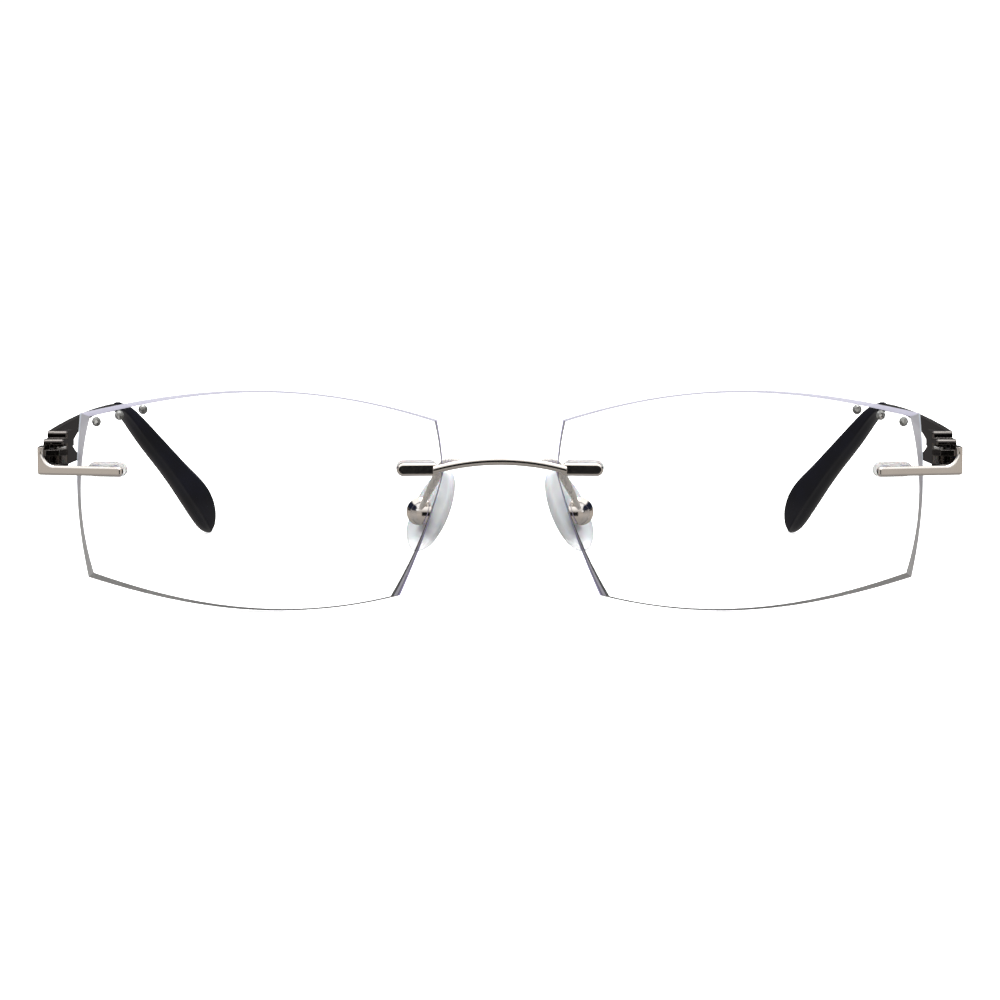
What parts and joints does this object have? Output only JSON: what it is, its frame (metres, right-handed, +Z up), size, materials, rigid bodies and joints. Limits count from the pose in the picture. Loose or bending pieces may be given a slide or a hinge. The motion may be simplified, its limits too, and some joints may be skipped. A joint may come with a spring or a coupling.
{
  "type": "rimless eyeglasses",
  "caption": "Rimless spectacles with clear faceted lenses, an arched metal bridge, silicone nose pads and folding stepped metal temples with dark earpieces.",
  "frame": {"origin": "centre of the footprint at table height, under the middle of the whole as it stands open", "axes": "+X to the viewer's right, along the lenses, +Y back along the temples, +Z up"},
  "size_m": [0.1434, 0.1414, 0.0343],
  "materials": {
    "lens_clear": "gloss",
    "crystal": "polished",
    "clear_plug": "gloss",
    "clear_silicone": "satin",
    "champagne_metal": "polished",
    "gunmetal": "polished",
    "steel_screw": "satin",
    "steel_insert": "satin",
    "nylon": "matte",
    "dark_acetate": "gloss"
  },
  "bodies": {
    "front": {"bridge": "champagne_metal", "right_lens": "lens_clear", "left_lens": "lens_clear", "right_crystals": "crystal", "left_crystals": "crystal", "right_bridge_plug": "clear_plug", "left_bridge_plug": "clear_plug", "right_temple_plug": "clear_plug", "left_temple_plug": "clear_plug", "right_pad_arm": "champagne_metal", "left_pad_arm": "champagne_metal", "right_pad_cup": "champagne_metal", "left_pad_cup": "champagne_metal", "right_pad_screw": "steel_screw", "left_pad_screw": "steel_screw", "right_endpiece": "champagne_metal", "left_endpiece": "champagne_metal", "right_hinge_screw": "steel_screw", "left_hinge_screw": "steel_screw"},
    "right_arm": {"right_temple": "gunmetal", "right_temple_tip": "dark_acetate", "right_hinge_bush": "nylon"},
    "left_arm": {"left_temple": "gunmetal", "left_temple_tip": "dark_acetate", "left_hinge_bush": "nylon"},
    "right_pad": {"right_nose_pad": "clear_silicone", "right_pad_insert": "steel_insert"},
    "left_pad": {"left_nose_pad": "clear_silicone", "left_pad_insert": "steel_insert"}
  },
  "joints": [
    {"name": "right_hinge", "type": "hinge", "parent": "front", "child": "right_arm", "pos_m": [-0.0689, -0.05656, 0.023], "axis": [0, 0, -1], "range_deg": [0, 84]},
    {"name": "left_hinge", "type": "hinge", "parent": "front", "child": "left_arm", "pos_m": [0.0689, -0.05656, 0.023], "axis": [0, 0, 1], "range_deg": [0, 74]},
    {"name": "right_pad_rock", "type": "hinge", "parent": "front", "child": "right_pad", "pos_m": [-0.01215, -0.06066, 0.015], "axis": [-0.5582, 0.7882, 0.2591], "range_deg": [-8, 8]},
    {"name": "left_pad_rock", "type": "hinge", "parent": "front", "child": "left_pad", "pos_m": [0.01215, -0.06066, 0.015], "axis": [0.5582, 0.7882, 0.2591], "range_deg": [-8, 8]}
  ]
}
